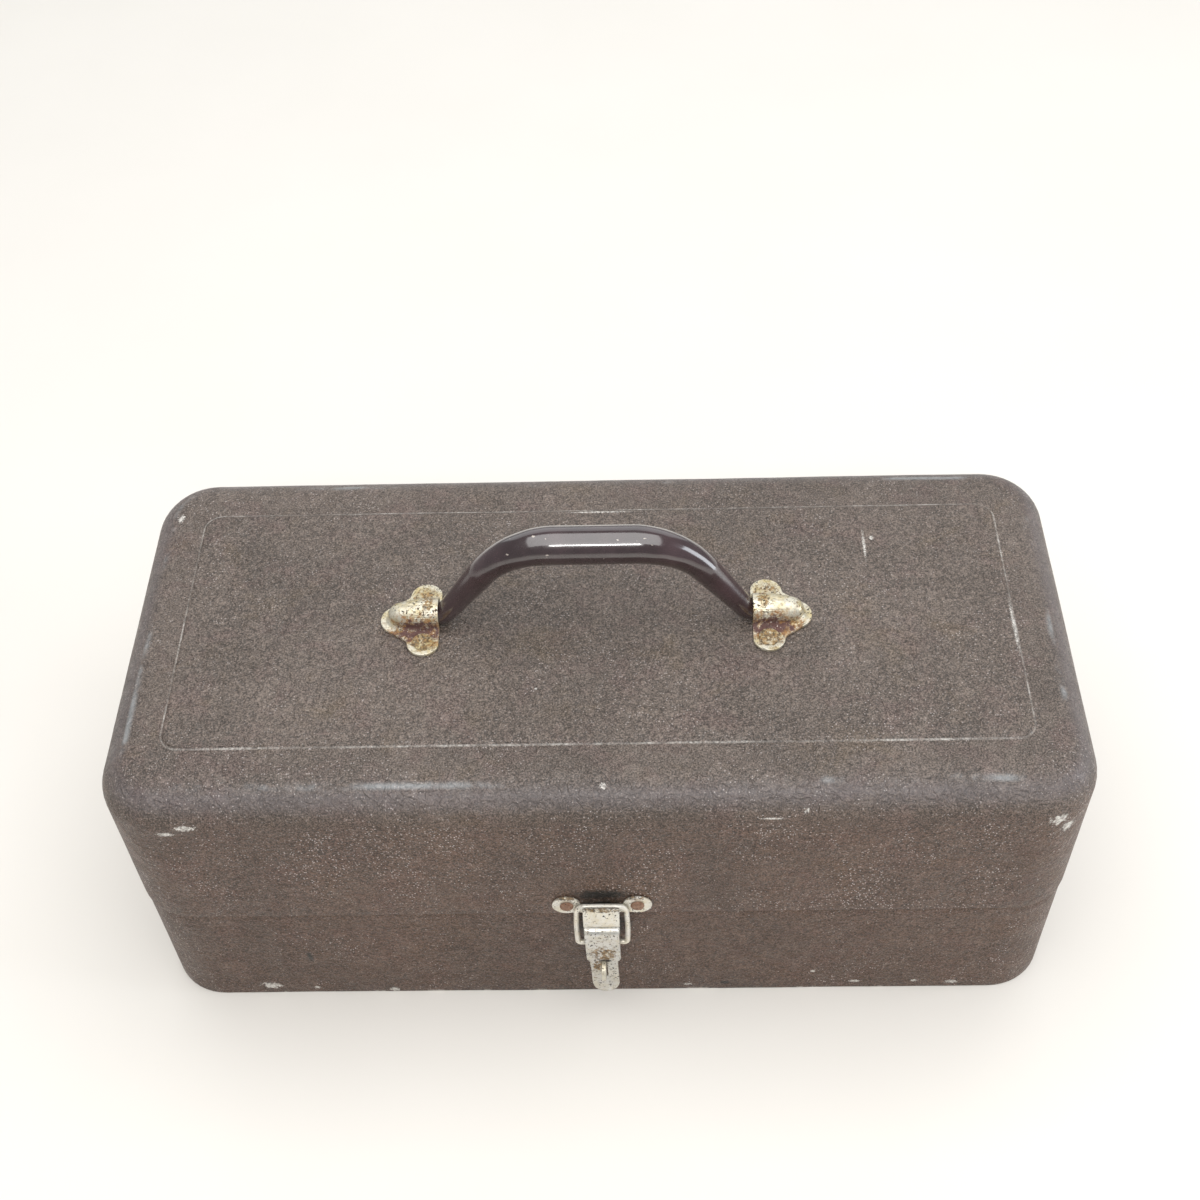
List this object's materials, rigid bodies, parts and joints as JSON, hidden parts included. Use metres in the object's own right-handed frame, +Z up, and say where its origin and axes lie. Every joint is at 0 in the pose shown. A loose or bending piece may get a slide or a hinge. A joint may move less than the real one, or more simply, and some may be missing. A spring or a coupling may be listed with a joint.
{
  "type": "hand toolbox",
  "caption": "Sheet-steel hand toolbox with a deep hinged lid, folding bail handle, toggle latch with padlock staple, and a tray that swings up with the lid.",
  "frame": {"origin": "centre of the case's underside, in the plane it rests on", "axes": "+X along the case to the right seen from the latch, +Y to the hinge side, +Z up"},
  "size_m": [0.3302, 0.1701, 0.1726],
  "materials": {
    "enamel": "brown-grey hammered enamel, worn",
    "base_enamel": "brown-grey hammered enamel, worn",
    "handle_enamel": "glossy dark maroon enamel",
    "plating": "worn cream-silver plating with rust specks",
    "lever_plating": "worn cream-silver plating with rust specks",
    "rusty_rivet": "rust-brown rivet",
    "steel": "plain zinc-plated steel",
    "tray_enamel": "brown-grey enamel"
  },
  "bodies": {
    "base": {"base_wall": "base_enamel", "base_bottom": "base_enamel", "hinge_leaf_base": "steel", "hinge_pin": "steel", "hinge_rivets_base": "steel", "latch_base_plate": "plating", "latch_base_rivets": "steel", "latch_pin": "steel", "padlock_staple": "plating", "tray_studs_base": "steel"},
    "lid": {"lid_shell": "enamel", "hinge_leaf_lid": "steel", "hinge_rivets_lid": "steel", "handle_bracket_left": "plating", "handle_bracket_right": "plating", "handle_bracket_rivets": "rusty_rivet", "latch_keeper": "plating", "latch_keeper_rivets": "rusty_rivet", "tray_studs_lid": "steel"},
    "handle": {"handle_grip": "handle_enamel"},
    "latch_lever": {"latch_lever": "lever_plating"},
    "latch_loop": {"latch_loop": "plating"},
    "tray": {"tray_pan": "tray_enamel", "tray_divider_long": "tray_enamel", "tray_divider_1": "tray_enamel", "tray_divider_2": "tray_enamel", "tray_divider_3": "tray_enamel", "tray_arm_rivets": "steel"},
    "tray_arm_left": {"tray_arm_left": "steel"},
    "tray_arm_right": {"tray_arm_right": "steel"}
  },
  "joints": [
    {"name": "lid_hinge", "type": "hinge", "parent": "base", "child": "lid", "pos_m": [0, 0.0792, 0.0584], "axis": [-1, 0, 0], "range_deg": [0, 100]},
    {"name": "handle_fold", "type": "hinge", "parent": "lid", "child": "handle", "pos_m": [0, 0, 0.132], "axis": [1, 0, 0], "range_deg": [-82, 82]},
    {"name": "lever_turn", "type": "hinge", "parent": "base", "child": "latch_lever", "pos_m": [0, -0.08015, 0.054], "axis": [-1, 0, 0], "range_deg": [0, 90]},
    {"name": "loop_turn", "type": "hinge", "parent": "latch_lever", "child": "latch_loop", "pos_m": [0, -0.0795, 0.0443], "axis": [-1, 0, 0], "range_deg": [-64, 1]},
    {"name": "tray_level", "type": "hinge", "parent": "lid", "child": "tray", "pos_m": [0, 0.0252, 0.0764], "axis": [-1, 0, 0], "range_deg": [-101, 1]},
    {"name": "arm_left_swing", "type": "hinge", "parent": "base", "child": "tray_arm_left", "pos_m": [-0.16, 0.016, 0.053], "axis": [-1, 0, 0], "range_deg": [-1, 101]},
    {"name": "arm_right_swing", "type": "hinge", "parent": "base", "child": "tray_arm_right", "pos_m": [0.16, 0.016, 0.053], "axis": [-1, 0, 0], "range_deg": [-1, 101]}
  ],
  "couplings": [
    {"joint": "loop_turn", "follows": "lever_turn", "ratio": -0.7},
    {"joint": "tray_level", "follows": "lid_hinge", "ratio": -1},
    {"joint": "arm_left_swing", "follows": "lid_hinge", "ratio": 1},
    {"joint": "arm_right_swing", "follows": "lid_hinge", "ratio": 1}
  ]
}
